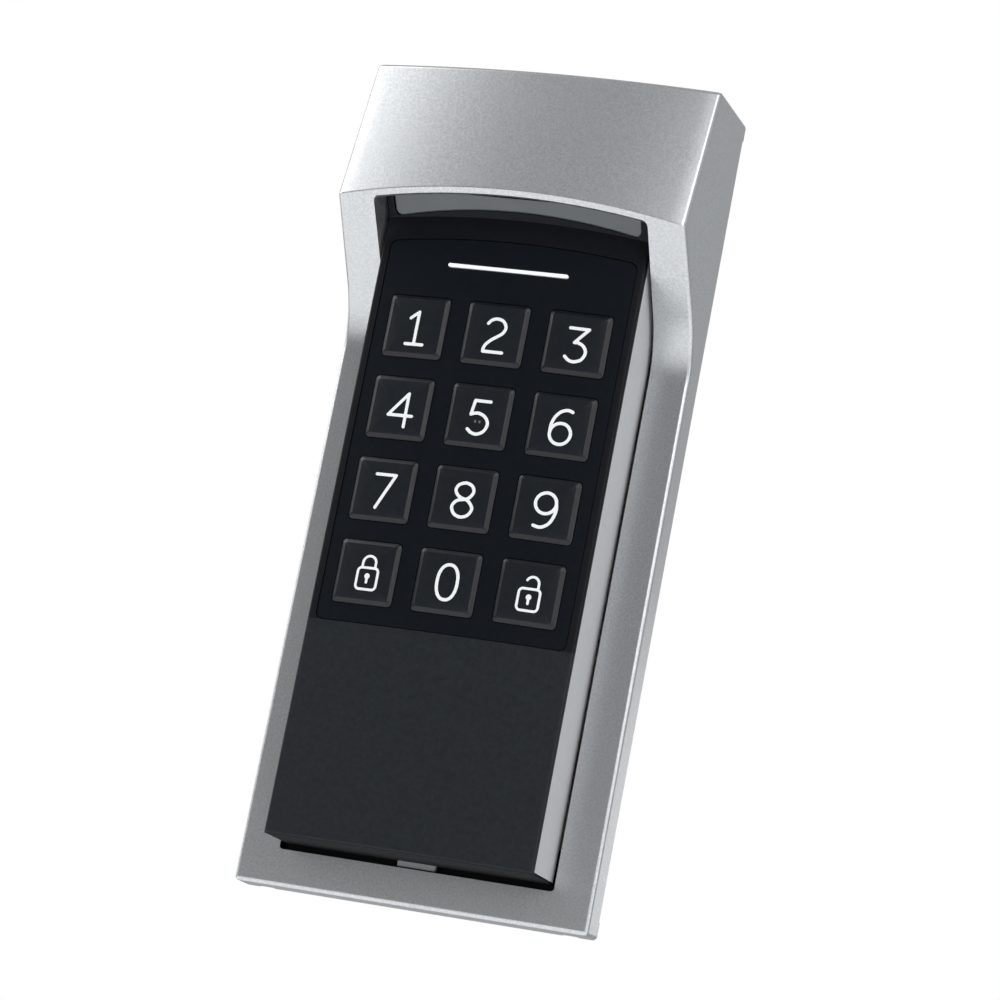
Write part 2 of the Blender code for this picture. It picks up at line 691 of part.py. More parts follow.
def build():
    clear_scene()
    silver = material("silver_paint", (0.50, 0.51, 0.52), 0.42, 0.55)
    black = material("black_plastic", (0.020, 0.023, 0.026), 0.50)
    rubber = material("keypad_rubber", (0.012, 0.015, 0.022), 0.42)
    key = material("key_plastic", (0.014, 0.018, 0.026), 0.38)
    grey = material("grey_plastic", (0.36, 0.37, 0.38), 0.45)
    lens = material("smoked_lens", (0.07, 0.08, 0.085), 0.18)
    opal = material("opal_light_pipe", (0.85, 0.87, 0.88), 0.30)
    steel = material("zinc_steel", (0.55, 0.56, 0.58), 0.35, 1.0)
    spring = material("dome_steel", (0.70, 0.70, 0.70), 0.25, 1.0)
    copper = material("copper_track", (0.75, 0.38, 0.20), 0.30, 1.0)
    pcb = material("board_laminate", (0.03, 0.16, 0.07), 0.40)
    chip = material("chip_epoxy", (0.03, 0.03, 0.03), 0.50)
    terminal = material("terminal_green", (0.05, 0.30, 0.12), 0.45)
    led = material("led_resin", (0.85, 0.83, 0.70), 0.30)
    seal = material("black_rubber", (0.02, 0.02, 0.02), 0.70)
    catch = material("catch_grey", (0.30, 0.31, 0.32), 0.45)
    build_frame(silver)
    build_wall_plate(steel)
    build_grommet(seal)
    build_frame_screws(steel)
    build_base(grey)
    build_cover(black)
    build_lens(lens)
    build_light_bar(opal)
    build_mat(rubber)
    for label, place in zip(KEY_NAMES, key_places()):
        build_key("key_" + label, place, key)
        build_dome("dome_" + label, place, spring)
    build_boards(pcb)
    build_coil(copper)
    build_leds(led)
    build_rear_parts(black, terminal, chip)
    build_module_screws(steel)
    build_latch(catch)
    place_all(("housing_frame", "wall_plate", "cable_grommet", "frame_screw"))


build()
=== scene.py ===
import math

import bmesh
import bpy
import numpy as np
from mathutils import Matrix, Vector
from mathutils.bvhtree import BVHTree


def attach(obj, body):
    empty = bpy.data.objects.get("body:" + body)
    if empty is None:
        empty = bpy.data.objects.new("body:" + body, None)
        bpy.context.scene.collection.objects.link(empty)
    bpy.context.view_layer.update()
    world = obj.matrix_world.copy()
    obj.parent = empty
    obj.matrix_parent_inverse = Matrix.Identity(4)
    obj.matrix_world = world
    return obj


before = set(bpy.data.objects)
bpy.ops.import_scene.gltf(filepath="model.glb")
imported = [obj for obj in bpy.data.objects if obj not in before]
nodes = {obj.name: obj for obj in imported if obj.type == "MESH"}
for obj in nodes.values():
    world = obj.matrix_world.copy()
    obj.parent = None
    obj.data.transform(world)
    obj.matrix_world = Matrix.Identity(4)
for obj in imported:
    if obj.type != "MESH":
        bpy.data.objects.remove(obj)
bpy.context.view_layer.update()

MM = 0.001
HALF_HEIGHT = 79.4      # the frame's origin lies at half its height

# heights are counted from the frame's bottom edge, in millimetres
KEYPAD_LOW = 49.2       # lower edge of the keypad skin
COVER_LOW = 8.42        # just above the cover's bottom face
WINDOW_HALF_W = 27.35   # the window in the frame, with a little margin
WINDOW_DEPTH = -5.9     # y behind which the window's walls are painted near-black as shade
WINDOW_LOW = 6.9
WINDOW_HIGH = 141.1
COIL_HEIGHT = 28.5      # middle of the antenna coil
SMOOTH_ANGLE = math.radians(34)

# ---------------------------------------------------------------- camera

AZIMUTH = math.radians(19.07)
BELOW = math.radians(11.66)
ROLL = math.radians(10.98)
TARGET = Vector((0.00414, -0.0106, -0.00189))
DISTANCE = 0.6772
LENS_MM = 130.1


def build_camera():
    level = math.cos(BELOW)
    out = Vector((math.sin(AZIMUTH) * level, -math.cos(AZIMUTH) * level, -math.sin(BELOW)))
    right = Vector((math.cos(AZIMUTH), math.sin(AZIMUTH), 0.0))
    up = out.cross(right)
    rolled_right = right * math.cos(ROLL) + up * math.sin(ROLL)
    rolled_up = up * math.cos(ROLL) - right * math.sin(ROLL)
    data = bpy.data.cameras.new("camera")
    data.lens = LENS_MM
    data.sensor_width = 36.0
    data.clip_start = 0.01
    cam = bpy.data.objects.new("camera", data)
    turn = Matrix((rolled_right, rolled_up, out)).transposed().to_4x4()
    cam.matrix_world = Matrix.Translation(TARGET + out * DISTANCE) @ turn
    bpy.context.scene.collection.objects.link(cam)
    bpy.context.scene.camera = cam


# ---------------------------------------------------------------- studio

def area_light(name, az, el, distance, width, height, power, tone=(1.0, 1.0, 1.0)):
    """Soft box seen from the object at azimuth az (degrees, 0 = straight in front, + = viewer's right)."""
    a, e = math.radians(az), math.radians(el)
    out = Vector((math.sin(a) * math.cos(e), -math.cos(a) * math.cos(e), math.sin(e)))
    data = bpy.data.lights.new(name, "AREA")
    data.shape = "RECTANGLE"
    data.size = width
    data.size_y = height
    data.energy = power
    data.color = tone
    lamp = bpy.data.objects.new(name, data)
    lamp.location = out * distance
    lamp.rotation_euler = out.to_track_quat("Z", "Y").to_euler()
    bpy.context.scene.collection.objects.link(lamp)


ROOM_LEVEL = 0.275
ROOM_BACK = 0.15
ROOM_TOP = 0.14
FLOOR_BACK = 0.2        # the floor stops this far behind the object
FLOOR_HALF = 1.6
FLOOR_Z = -0.30


def build_studio():
    world = bpy.data.worlds.new("studio")
    bpy.context.scene.world = world
    world.use_nodes = True
    tree = world.node_tree
    tree.nodes.clear()
    output = tree.nodes.new("ShaderNodeOutputWorld")
    mix = tree.nodes.new("ShaderNodeMixShader")
    seen = tree.nodes.new("ShaderNodeBackground")
    fill = tree.nodes.new("ShaderNodeBackground")
    path = tree.nodes.new("ShaderNodeLightPath")
    seen.inputs["Color"].default_value = (1.0, 1.0, 1.0, 1.0)
    fill.inputs["Color"].default_value = (0.965, 0.985, 1.0, 1.0)
    # the room is a little darker in front of the object and near the horizon
    way = tree.nodes.new("ShaderNodeTexCoord")
    split = tree.nodes.new("ShaderNodeSeparateXYZ")
    tree.links.new(way.outputs["Generated"], split.inputs[0])
    level = None
    for axis, gain in (("Y", ROOM_BACK), ("Z", ROOM_TOP)):
        part = tree.nodes.new("ShaderNodeMath")
        part.operation = "MULTIPLY_ADD"
        part.inputs[1].default_value = gain
        part.inputs[2].default_value = ROOM_LEVEL
        tree.links.new(split.outputs[axis], part.inputs[0])
        if level is not None:
            tree.links.new(level, part.inputs[2])
        level = part.outputs[0]
    tree.links.new(level, fill.inputs["Strength"])
    tree.links.new(path.outputs["Is Camera Ray"], mix.inputs["Fac"])
    tree.links.new(fill.outputs[0], mix.inputs[1])
    tree.links.new(seen.outputs[0], mix.inputs[2])
    tree.links.new(mix.outputs[0], output.inputs["Surface"])
    area_light("key_softbox", -76, 36, 0.9, 0.5, 0.8, 4.3)
    area_light("right_softbox", 34, 30, 1.1, 0.55, 1.0, 5.2)
    area_light("side_softbox", 70, 12, 1.1, 0.5, 0.6, 1.7)
    area_light("left_card", -105, 10, 1.1, 0.4, 0.5, 1.1)
    area_light("rim_card", 158, 2, 1.1, 0.35, 0.25, 0.25)

    mesh = bpy.data.meshes.new("studio_floor")
    bm = bmesh.new()
    bmesh.ops.create_grid(bm, x_segments=8, y_segments=8, size=FLOOR_HALF)
    bm.to_mesh(mesh)
    bm.free()
    floor = bpy.data.objects.new("studio_floor", mesh)
    floor.location = (0.0, FLOOR_BACK - FLOOR_HALF, FLOOR_Z)
    bpy.context.scene.collection.objects.link(floor)
    mat = bpy.data.materials.new("studio_floor")
    mat.use_nodes = True
    shader = mat.node_tree.nodes["Principled BSDF"]
    shader.inputs["Base Color"].default_value = (0.86, 0.86, 0.86, 1.0)
    shader.inputs["Roughness"].default_value = 0.9
    shader.inputs["Emission Color"].default_value = (1.0, 1.0, 1.0, 1.0)
    shader.inputs["Emission Strength"].default_value = 0.45
    mesh.materials.append(mat)
    view = bpy.context.scene.view_settings
    view.view_transform = "Standard"
    view.look = "None"


# ---------------------------------------------------------------- materials

class Finish:
    """Small node builder round one Principled shader, in the object's own coordinates (metres)."""

    def __init__(self, name):
        self.mat = bpy.data.materials.new(name)
        self.mat.use_nodes = True
        self.tree = self.mat.node_tree
        self.shader = self.tree.nodes["Principled BSDF"]
        self.coord = self.tree.nodes.new("ShaderNodeTexCoord").outputs["Object"]
        self.height = None

    def set(self, **values):
        for key, value in values.items():
            self.shader.inputs[key.replace("_", " ")].default_value = value
        return self

    def stretched(self, scale):
        node = self.tree.nodes.new("ShaderNodeMapping")
        node.inputs["Scale"].default_value = scale
        self.tree.links.new(self.coord, node.inputs["Vector"])
        return node.outputs[0]

    def noise(self, scale, detail=2.0, rough=0.5, vector=None):
        node = self.tree.nodes.new("ShaderNodeTexNoise")
        node.inputs["Scale"].default_value = scale
        node.inputs["Detail"].default_value = detail
        node.inputs["Roughness"].default_value = rough
        self.tree.links.new(vector or self.coord, node.inputs["Vector"])
        return node.outputs["Fac"]

    def cells(self, scale, feature="F1", output="Distance"):
        node = self.tree.nodes.new("ShaderNodeTexVoronoi")
        node.feature = feature
        node.inputs["Scale"].default_value = scale
        self.tree.links.new(self.coord, node.inputs["Vector"])
        return node.outputs[output]

    def axes(self):
        node = self.tree.nodes.new("ShaderNodeSeparateXYZ")
        self.tree.links.new(self.coord, node.inputs[0])
        return node.outputs

    def range(self, value, low, high, from_low=0.3, from_high=0.7):
        node = self.tree.nodes.new("ShaderNodeMapRange")
        node.inputs["From Min"].default_value = from_low
        node.inputs["From Max"].default_value = from_high
        node.inputs["To Min"].default_value = low
        node.inputs["To Max"].default_value = high
        self.tree.links.new(value, node.inputs["Value"])
        return node.outputs["Result"]

    def math(self, operation, a, b):
        node = self.tree.nodes.new("ShaderNodeMath")
        node.operation = operation
        for socket, value in zip(node.inputs, (a, b)):
            if isinstance(value, (int, float)):
                socket.default_value = value
            else:
                self.tree.links.new(value, socket)
        return node.outputs[0]

    def mix(self, factor, first, second):
        node = self.tree.nodes.new("ShaderNodeMix")
        node.data_type = "RGBA"
        self.tree.links.new(factor, node.inputs["Factor"])
        for socket, value in ((node.inputs[6], first), (node.inputs[7], second)):
            if isinstance(value, tuple):
                socket.default_value = (*value, 1.0)
            else:
                self.tree.links.new(value, socket)
        return node.outputs[2]

    def color(self, value):
        self.tree.links.new(value, self.shader.inputs["Base Color"])
        return self

    def roughness(self, value):
        self.tree.links.new(value, self.shader.inputs["Roughness"])
        return self

    def bump(self, height, distance, strength=1.0):
        node = self.tree.nodes.new("ShaderNodeBump")
        node.inputs["Strength"].default_value = strength
        node.inputs["Distance"].default_value = distance
        self.tree.links.new(height, node.inputs["Height"])
        if self.height is not None:
            self.tree.links.new(self.height, node.inputs["Normal"])
        self.height = node.outputs["Normal"]
        self.tree.links.new(self.height, self.shader.inputs["Normal"])
        return self


def smoothing_group():
    """Joins the split corner points and smooths every edge that is flatter than SMOOTH_ANGLE."""
    group = bpy.data.node_groups.new("soft_shading", "GeometryNodeTree")
    for way in ("INPUT", "OUTPUT"):
        group.interface.new_socket("Geometry", in_out=way, socket_type="NodeSocketGeometry")
    add = group.nodes.new
    merge = add("GeometryNodeMergeByDistance")
    merge.inputs["Distance"].default_value = 0.000001
    clean = add("GeometryNodeRemoveAttribute")
    clean.inputs["Name"].default_value = "custom_normal"
    faces = add("GeometryNodeSetShadeSmooth")
    faces.domain = "FACE"
    edges = add("GeometryNodeSetShadeSmooth")
    edges.domain = "EDGE"
    flat = add("FunctionNodeCompare")
    flat.data_type = "FLOAT"
    flat.operation = "LESS_THAN"
    flat.inputs["B"].default_value = SMOOTH_ANGLE
    link = group.links.new
    link(add("GeometryNodeInputMeshEdgeAngle").outputs["Unsigned Angle"], flat.inputs["A"])
    link(flat.outputs[0], edges.inputs["Shade Smooth"])
    chain = [add("NodeGroupInput"), merge, clean, faces, edges, add("NodeGroupOutput")]
    for first, second in zip(chain[:-1], chain[1:]):
        link(first.outputs[0], second.inputs[0])
    return group


def soften_shading():
    group = smoothing_group()
    for obj in nodes.values():
        soft = obj.modifiers.new("soft_shading", "NODES")
        soft.node_group = group
        weigh = obj.modifiers.new("weighted_normals", "WEIGHTED_NORMAL")
        weigh.mode = "FACE_AREA"
        weigh.keep_sharp = True
        weigh.weight = 50


def shade(color, gain):
    return tuple(min(c * gain, 1.0) for c in color)


def silver_paint():
    """Satin silver lacquer over cast metal: fine flake grain and a faint waviness."""
    f = Finish("silver_lacquer")
    base = (0.60, 0.615, 0.63)
    flake = f.cells(3600, output="Color")
    tone = f.mix(f.range(f.noise(2400, 2.0), 0.0, 1.0, 0.35, 0.65), shade(base, 0.86), shade(base, 1.10))
    tone = f.mix(f.range(f.noise(60, 2.0), 0.0, 0.5), tone, shade(base, 0.98))
    # painted shade: inside the window the walls and the ledge are coloured near-black, standing in for the
    # shadow in the gap round the module
    x, y, z = f.axes()
    window_shade = f.math("LESS_THAN", f.math("ABSOLUTE", x, 0.0), WINDOW_HALF_W * MM)
    window_shade = f.math("MULTIPLY", window_shade, f.math("GREATER_THAN", y, WINDOW_DEPTH * MM))
    window_shade = f.math("MULTIPLY", window_shade, f.math("GREATER_THAN", z, (WINDOW_LOW - HALF_HEIGHT) * MM))
    window_shade = f.math("MULTIPLY", window_shade, f.math("LESS_THAN", z, (WINDOW_HIGH - HALF_HEIGHT) * MM))
    tone = f.mix(window_shade, tone, (0.012, 0.012, 0.013))
    f.set(Metallic=0.88, Specular_IOR_Level=0.5).color(tone)
    f.roughness(f.range(f.noise(1500, 3.0), 0.31, 0.35))
    f.bump(flake, 0.000002).bump(f.noise(1900, 2.0), 0.000009)
    return f.mat


def moulded(name, base, rough, grain=2400, depth=0.00003, spread=0.05, tone=0.08, specular=0.5):
    """Spark-eroded moulded plastic: fine grain, a little mottling in tone and gloss."""
    f = Finish(name)
    patches = f.range(f.noise(grain * 0.5, 3.0), 0.0, 1.0)
    mottled = f.mix(patches, shade(base, 1 - tone), shade(base, 1 + tone))
    f.set(Specular_IOR_Level=specular)
    f.color(f.mix(f.range(f.noise(70, 2.0), 0.0, 1.0), mottled, shade(base, 1 + tone * 0.6)))
    f.roughness(f.range(f.noise(grain * 0.3, 2.0), rough - spread, rough + spread))
    f.bump(f.noise(grain, 3.0), depth)
    return f.mat


def cover_plastic():
    """Grained black panel; from the keypad's lower edge upward the cover is painted as dark as the keypad as
    painted shade under the hood, and the bottom face is painted darker and rougher as painted shade.
    """
    f = Finish("cover_plastic")
    base = (0.0150, 0.0178, 0.0208)
    panel = f.mix(f.range(f.noise(1150, 3.0), 0.0, 1.0), shade(base, 0.84), shade(base, 1.16))
    edge = KEYPAD_LOW - HALF_HEIGHT
    # painted shade: from the keypad's lower edge upward the cover is coloured darker, standing in for the
    # shade under the hood
    high = f.range(f.axes()["Z"], 0.0, 1.0, (edge - 0.15) * MM, (edge + 0.15) * MM)
    # painted shade: the bottom face, which faces down, is coloured darker
    low = f.math("LESS_THAN", f.axes()["Z"], (COVER_LOW - HALF_HEIGHT) * MM)
    f.set(Specular_IOR_Level=0.18)
    f.color(f.mix(f.math("MAXIMUM", high, low), panel, (0.0028, 0.0042, 0.0062)))
    f.roughness(f.math("ADD", f.range(f.noise(690, 2.0), 0.42, 0.52), f.math("MULTIPLY", low, 0.35)))
    f.bump(f.noise(2300, 3.0), 0.00004)
    return f.mat


def smoked_lens():
    f = Finish("smoked_acrylic")
    base = (0.066, 0.078, 0.084)
    f.set(Specular_IOR_Level=0.6, Coat_Weight=0.6, Coat_Roughness=0.06, IOR=1.49)
    f.color(f.mix(f.range(f.noise(90, 2.0), 0.0, 1.0), shade(base, 0.9), shade(base, 1.12)))
    f.roughness(f.range(f.noise(400, 2.0), 0.16, 0.26))
    f.bump(f.noise(120, 2.0), 0.00002)
    return f.mat


def opal_bar():
    f = Finish("opal_light_pipe")
    base = (0.93, 0.95, 0.96)
    tone_and_painted_glow = f.mix(f.range(f.noise(260, 2.0), 0.0, 1.0), shade(base, 0.94), base)
    f.color(tone_and_painted_glow)
    f.tree.links.new(tone_and_painted_glow, f.shader.inputs["Emission Color"])
    # the faint emission is painted light that brightens the pipe
    f.set(Emission_Strength=0.22)
    f.roughness(f.range(f.noise(500, 2.0), 0.25, 0.4))
    f.bump(f.noise(1500, 2.0), 0.00001)
    return f.mat


def printed_white():
    """White legend ink with a slightly uneven, softly rough film and a faint painted glow that brightens it.
    """
    f = Finish("legend_ink")
    base = (0.80, 0.82, 0.83)
    ink = f.mix(f.range(f.noise(1400, 3.0), 0.0, 1.0), shade(base, 0.93), base)
    f.color(ink)
    f.tree.links.new(ink, f.shader.inputs["Emission Color"])
    # the faint emission is painted light that brightens the print
    f.set(Emission_Strength=0.15)
    f.roughness(f.range(f.noise(900, 2.0), 0.4, 0.55))
    f.bump(f.noise(3200, 2.0), 0.000008)
    return f.mat


def plated_steel(name, base, rough, grain_dir=(1.0, 1.0, 1.0), tint=None):
    f = Finish(name)
    streak = f.noise(900, 3.0, 0.6, f.stretched(grain_dir))
    spangle = f.cells(260, output="Color")
    tone = f.mix(f.range(streak, 0.0, 1.0), shade(base, 0.86), shade(base, 1.06))
    if tint:
        tone = f.mix(f.range(f.noise(120, 3.0), 0.0, 0.5), tone, tint)
    f.set(Metallic=1.0).color(tone)
    f.roughness(f.range(f.math("ADD", streak, f.noise(300, 2.0)), rough - 0.08, rough + 0.1, 0.7, 1.3))
    f.bump(streak, 0.000012).bump(spangle, 0.000004)
    return f.mat


def solder_mask():
    """Green board: mask over woven glass, with routed tracks showing as a faint relief."""
    f = Finish("solder_mask")
    weave = f.tree.nodes.new("ShaderNodeTexBrick")
    weave.inputs["Scale"].default_value = 500.0
    weave.inputs["Color1"].default_value = (1, 1, 1, 1)
    weave.inputs["Color2"].default_value = (0.7, 0.7, 0.7, 1)
    weave.inputs["Mortar"].default_value = (0, 0, 0, 1)
    weave.inputs["Mortar Size"].default_value = 0.12
    turn = f.tree.nodes.new("ShaderNodeMapping")
    turn.inputs["Rotation"].default_value = (math.radians(90), 0.0, 0.0)
    f.tree.links.new(f.coord, turn.inputs["Vector"])
    f.tree.links.new(turn.outputs[0], weave.inputs["Vector"])
    tracks = f.cells(230, "DISTANCE_TO_EDGE")
    on_track = f.range(tracks, 1.0, 0.0, 0.05, 0.09)
    tone = f.mix(on_track, (0.012, 0.095, 0.040), (0.030, 0.20, 0.085))
    f.color(f.mix(f.range(f.noise(200, 2.0), 0.0, 0.4), tone, (0.02, 0.14, 0.06)))
    f.roughness(f.range(f.noise(500, 2.0), 0.28, 0.42))
    f.bump(on_track, 0.00003).bump(weave.outputs["Color"], 0.000008)
    return f.mat


def copper_coil():
    """Printed antenna: concentric copper turns under mask."""
    f = Finish("copper_turns")
    x, _, z = f.axes()
    across = f.math("SUBTRACT", f.math("ABSOLUTE", x, 0.0), 0.0035)
    middle = (COIL_HEIGHT - HALF_HEIGHT) * MM
    along = f.math("ABSOLUTE", f.math("SUBTRACT", z, middle), 0.0)
    reach = f.math("MAXIMUM", across, along)
    turns = f.math("SINE", f.math("MULTIPLY", reach, 2 * math.pi / 0.00075), 0.0)
    on_turn = f.range(turns, 0.0, 1.0, -0.2, 0.2)
    tone = f.mix(f.range(f.noise(300, 2.0), 0.0, 1.0), (0.70, 0.33, 0.17), (0.82, 0.44, 0.25))
    f.color(f.mix(on_turn, (0.02, 0.12, 0.05), tone))
    f.tree.links.new(f.range(turns, 0.0, 0.95, -0.2, 0.2), f.shader.inputs["Metallic"])
    f.roughness(f.range(f.noise(700, 2.0), 0.25, 0.4))
    f.bump(on_turn, 0.00003)
    return f.mat


def resin_led():
    f = Finish("led_resin")
    f.color(f.mix(f.range(f.noise(500, 2.0), 0.0, 1.0), (0.80, 0.76, 0.55), (0.90, 0.87, 0.70)))
    f.set(Coat_Weight=0.4)
    f.roughness(f.range(f.noise(900, 2.0), 0.22, 0.4))
    f.bump(f.noise(1200, 2.0), 0.00001)
    return f.mat


def paint(names, mat):
    for name in names:
        for slot in nodes[name].material_slots:
            slot.material = mat


def dress_nodes():
    paint(["housing_frame"], silver_paint())
    paint(["front_cover"], cover_plastic())
    skin = (0.0030, 0.0052, 0.0085)
    cap = (0.0035, 0.0058, 0.0092)
    paint(["keypad_mat"], moulded("keypad_skin", skin, 0.40, 3000, 0.00001, 0.03, 0.10, 0.16))
    keys = [n for n in nodes if n.startswith("key_")]
    paint(keys, moulded("key_cap", cap, 0.36, 3000, 0.00001, 0.03, 0.10, 0.42))
    paint(["module_base"], moulded("tray_plastic", (0.46, 0.47, 0.48), 0.46, 2100, 0.00003, 0.05, 0.05))
    paint(["release_latch"], moulded("catch_plastic", (0.28, 0.29, 0.30), 0.45, 2100, 0.00003, 0.05))
    paint(["brow_lens"], smoked_lens())
    paint(["light_bar"], opal_bar())
    zinc, dull_zinc = (0.62, 0.63, 0.65), (0.55, 0.56, 0.52)
    paint(["wall_plate"], plated_steel("zinc_plate", zinc, 0.36, (1.0, 1.0, 0.08), dull_zinc))
    screws = [n for n in nodes if "_screw_" in n]
    paint(screws, plated_steel("screw_steel", (0.58, 0.58, 0.60), 0.30, (0.2, 1.0, 0.2)))
    domes = [n for n in nodes if n.startswith("dome_")]
    paint(domes, plated_steel("spring_steel", (0.72, 0.72, 0.71), 0.24, (1.0, 1.0, 0.3)))
    paint(["cable_grommet"], moulded("grommet_rubber", (0.016, 0.016, 0.017), 0.68, 1500, 0.00004, 0.06))
    paint(["main_board", "antenna_board"], solder_mask())
    paint(["antenna_coil"], copper_coil())
    paint([n for n in nodes if "_led_" in n], resin_led())
    paint(["buzzer"], moulded("buzzer_case", (0.018, 0.018, 0.019), 0.42, 1800, 0.00003))
    paint(["terminal_block"], moulded("terminal_plastic", (0.035, 0.26, 0.10), 0.40, 1600, 0.00003))
    chips = ["reader_chip", "processor_chip", "tamper_sensor"]
    paint(chips, moulded("chip_epoxy", (0.022, 0.022, 0.024), 0.50, 2600, 0.00002))


# ---------------------------------------------------------------- key legends

PITCH = 16.0
TOP_ROW = 106.9
KEY_ORDER = ["1", "2", "3", "4", "5", "6", "7", "8", "9", "lock", "0", "unlock"]
STROKE = 0.305          # half the width of a digit's line
THIN = 0.24             # half the width of a padlock's line
CELL = 0.11             # grid the legends are built on
FILM = 0.022            # height of the print above the key


def spline(points, closed=False, steps=12):
    """Smooth line through the points (Catmull-Rom)."""
    pts = [np.array(p, float) for p in points]
    n = len(pts)
    out = []
    for i in range(n if closed else n - 1):
        if closed:
            p0, p1, p2, p3 = (pts[(i + k - 1) % n] for k in range(4))
        else:
            p1, p2 = pts[i], pts[i + 1]
            p0 = pts[i - 1] if i else 2 * p1 - p2
            p3 = pts[i + 2] if i + 2 < n else 2 * p2 - p1
        for s in range(steps):
            t = s / steps
            out.append(0.5 * (2 * p1 + (p2 - p0) * t + (2 * p0 - 5 * p1 + 4 * p2 - p3) * t ** 2
                              + (3 * p1 - p0 - 3 * p2 + p3) * t ** 3))
    out.append(pts[0] if closed else pts[-1])
    return out


def arc(cx, cz, rx, rz, start, end, steps=40, power=2.0):
    """Elliptic arc, angles in degrees from +X; power above 2 squares it off."""
    out = []
    for i in range(steps + 1):
        a = math.radians(start + (end - start) * i / steps)
        c, s = math.cos(a), math.sin(a)
        out.append((cx + rx * math.copysign(abs(c) ** (2 / power), c),
                    cz + rz * math.copysign(abs(s) ** (2 / power), s)))
    return out


def line(*points):
    return [tuple(p) for p in points]


def padlock(cx, left_foot):
    body = []
    half_w, half_h, mid, r = 2.03, 2.05, -1.27, 0.75
    for sx, sz, start in ((1, 1, 0), (-1, 1, 90), (-1, -1, 180), (1, -1, 270)):
        body += arc(cx + sx * (half_w - r), mid + sz * (half_h - r), r, r, start, start + 90, 8)
    body.append(body[0])
    if left_foot:
        shackle = line((cx - 1.3, 0.8), (cx - 1.3, 1.6)) + arc(cx, 1.72, 1.3, 1.33, 180, 0, 24)
        shackle += line((cx + 1.3, 0.8))
    else:
        centre = cx + 0.27
        shackle = arc(centre, 1.80, 1.22, 1.27, 153, 0, 24) + line((centre + 1.22, 0.8))
    strokes = [(body, THIN), (shackle, THIN)]
    strokes.append((line((cx - 0.02, -0.78), (cx - 0.02, -0.80)), 0.53))
    strokes.append((line((cx - 0.02, -0.9), (cx, -2.0)), 0.25))
    return strokes


def legends():
    """Centre lines of each key's legend in millimetres from the key's centre, with half widths."""
    s = STROKE
    low = -3.58
    return {
        "1": [(line((-1.1, 1.5), (0.42, 2.75), (0.40, low)), s), (line((-1.35, low), (2.15, low)), s)],
        "2": [(spline([(-1.45, 1.85), (-0.85, 2.55), (0.2, 2.88), (1.45, 2.5), (2.12, 1.35), (1.75, 0.25),
                       (0.85, -0.5), (-0.3, -1.3), (-1.2, -2.2), (-1.55, -3.0), (-1.6, low)]), s),
              (line((-1.6, low), (2.2, low)), s)],
        "3": [(line((-1.5, 2.8), (2.12, 2.8), (-0.25, 0.06)), s),
              (spline([(-0.25, 0.06), (0.5, 0.06), (1.45, -0.4), (2.08, -1.3), (2.05, -2.2), (1.45, -3.15),
                       (0.2, -3.6), (-0.85, -3.4), (-1.65, -2.75)]), s)],
        "4": [(line((1.62, 2.72), (-1.85, -1.57), (2.95, -1.57)), s), (line((1.62, 2.72), (1.68, -3.7)), s)],
        "5": [(line((2.05, 2.82), (-1.0, 2.82), (-1.38, 0.12)), s),
              (spline([(-1.38, 0.12), (-0.6, 0.38), (0.3, 0.40), (1.35, -0.1), (2.05, -1.0), (2.1, -2.0),
                       (1.5, -3.05), (0.3, -3.58), (-0.8, -3.35), (-1.6, -2.75)]), s)],
        "6": [(spline([(1.95, 2.75), (1.3, 3.0), (0.5, 2.95), (-0.45, 2.45), (-1.25, 1.4), (-1.7, 0.0),
                       (-1.72, -1.5)]), s),
              (arc(0.27, -1.58, 2.0, 2.0, 0, 360, 48), s)],
        "7": [(line((-1.62, 2.8), (2.3, 2.8), (-0.78, -3.62)), s)],
        "8": [(spline([(0.36, 2.95), (1.6, 2.5), (2.1, 1.5), (1.7, 0.5), (0.9, -0.1), (-0.6, -0.45),
                       (-1.35, -1.1), (-1.6, -1.95), (-0.95, -3.1), (0.36, -3.58), (1.7, -3.1),
                       (2.33, -1.95), (2.0, -1.1), (1.2, -0.35), (-0.1, 0.05), (-0.9, 0.55),
                       (-1.4, 1.5), (-0.9, 2.5)], True), s)],
        "9": [(arc(0.17, 1.08, 1.98, 1.98, 0, 360, 48), s),
              (spline([(2.15, 1.2), (2.3, 0.0), (2.05, -1.3), (1.4, -2.6), (0.4, -3.35), (-0.5, -3.52),
                       (-1.5, -3.32)]), s)],
        "0": [(arc(0.37, -0.08, 1.97, 3.32, 0, 360, 60, 2.25), s)],
        "lock": padlock(0.48, True),
        "unlock": padlock(0.28, False),
    }


def stroke_distance(px, pz, strokes):
    """Signed distance from the grid points to the edge of the nearest stroke."""
    best = np.full(px.shape, 1e9)
    for points, half in strokes:
        for (ax, az), (bx, bz) in zip(points[:-1], points[1:]):
            dx, dz = bx - ax, bz - az
            length = dx * dx + dz * dz
            t = np.zeros(px.shape)
            if length > 1e-12:
                t = np.clip(((px - ax) * dx + (pz - az) * dz) / length, 0, 1)
            best = np.minimum(best, np.hypot(px - ax - t * dx, pz - az - t * dz) - half)
    return best


